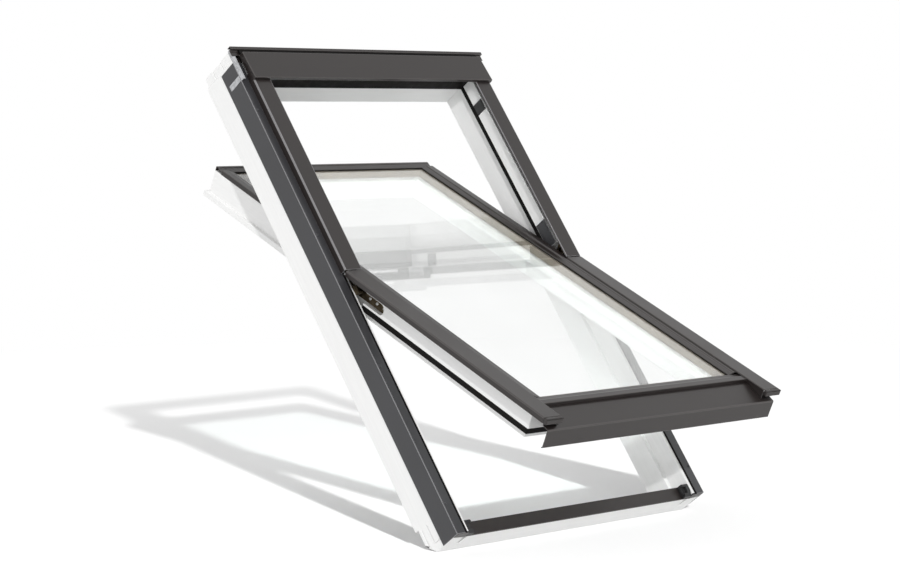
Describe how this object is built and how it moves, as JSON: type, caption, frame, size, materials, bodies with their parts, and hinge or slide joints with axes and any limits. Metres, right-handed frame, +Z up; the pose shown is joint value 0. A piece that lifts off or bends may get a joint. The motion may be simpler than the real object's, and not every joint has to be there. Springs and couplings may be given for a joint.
{
  "type": "roof window",
  "caption": "Centre-pivot roof window set ajar: white timber frame and glazed sash, dark grey sheet cladding, hood, curved-track hinges and a handle with a latch.",
  "frame": {"origin": "middle of the frame's lower timber face, at half its bare depth", "axes": "+Z up with the window pitched as on a roof, +Y from the weather side to the room side, +X to the right seen from outside"},
  "size_m": [0.788, 1.1311, 1.0554],
  "materials": {
    "white_timber": "white lacquer over timber",
    "grey_sheet": "matt grey coil coating on aluminium sheet",
    "grey_plastic": "moulded end piece in the cladding grey",
    "black_rubber": "extruded seal",
    "black_plastic": "moulded block",
    "window_glass": "clear float glass",
    "spacer": "warm-edge spacer",
    "hinge_metal": "yellow passivated zinc",
    "steel": "zinc plated",
    "handle_metal": "satin anodised"
  },
  "bodies": {
    "frame": {"frame_stile_left": "white_timber", "frame_stile_right": "white_timber", "frame_head": "white_timber", "frame_sill": "white_timber", "side_cladding_left": "grey_sheet", "side_cladding_right": "grey_sheet", "sill_cladding": "grey_sheet", "head_flashing": "grey_sheet", "hood": "grey_sheet", "hood_seal": "black_rubber", "hood_end_left": "steel", "hood_end_right": "steel", "upper_cover_left": "grey_sheet", "upper_cover_right": "grey_sheet", "frame_gasket": "black_rubber", "rebate_seal_left": "black_rubber", "rebate_seal_right": "black_rubber", "sill_corner_left": "black_plastic", "sill_corner_right": "black_plastic", "stop_block_left": "black_plastic", "stop_block_right": "black_plastic", "hinge_cover_left": "grey_sheet", "hinge_cover_right": "grey_sheet", "hinge_track_left": "hinge_metal", "hinge_track_right": "hinge_metal", "track_screws": "steel", "cladding_screws": "grey_sheet", "striker_plate": "steel"},
    "sash": {"sash_stile_left": "white_timber", "sash_stile_right": "white_timber", "sash_head": "white_timber", "sash_foot": "white_timber", "sash_gasket": "black_rubber", "inner_pane": "window_glass", "outer_pane": "window_glass", "pane_spacer": "spacer", "glazing_seal": "black_rubber", "bead_left": "grey_sheet", "bead_right": "grey_sheet", "bead_head": "grey_sheet", "bead_foot": "grey_sheet", "apron": "grey_sheet", "lower_cover_left": "grey_sheet", "lower_cover_right": "grey_sheet", "cover_end_left": "grey_plastic", "cover_end_right": "grey_plastic", "hinge_shoe_left": "hinge_metal", "hinge_shoe_right": "hinge_metal", "shoe_screws": "steel", "latch_case": "steel"},
    "handle": {"handle_crank": "steel", "handle_lever": "handle_metal"},
    "bolt": {"latch_bolt": "steel"}
  },
  "joints": [
    {"name": "sash_pivot", "type": "hinge", "parent": "frame", "child": "sash", "pos_m": [0, 0.31295, 0.56228], "axis": [-1, 0, 0], "range_deg": [-29.4, 110.6]},
    {"name": "handle_turn", "type": "hinge", "parent": "sash", "child": "handle", "pos_m": [0, -0.16269, 0.24641], "axis": [0, 0.4067, -0.9135], "range_deg": [0, 90]},
    {"name": "bolt_throw", "type": "slide", "parent": "sash", "child": "bolt", "axis": [0, -0.9135, -0.4067], "range_m": [0, 0.01273]}
  ],
  "couplings": [
    {"joint": "bolt_throw", "follows": "handle_turn", "m_per_rad": 0.008102}
  ]
}
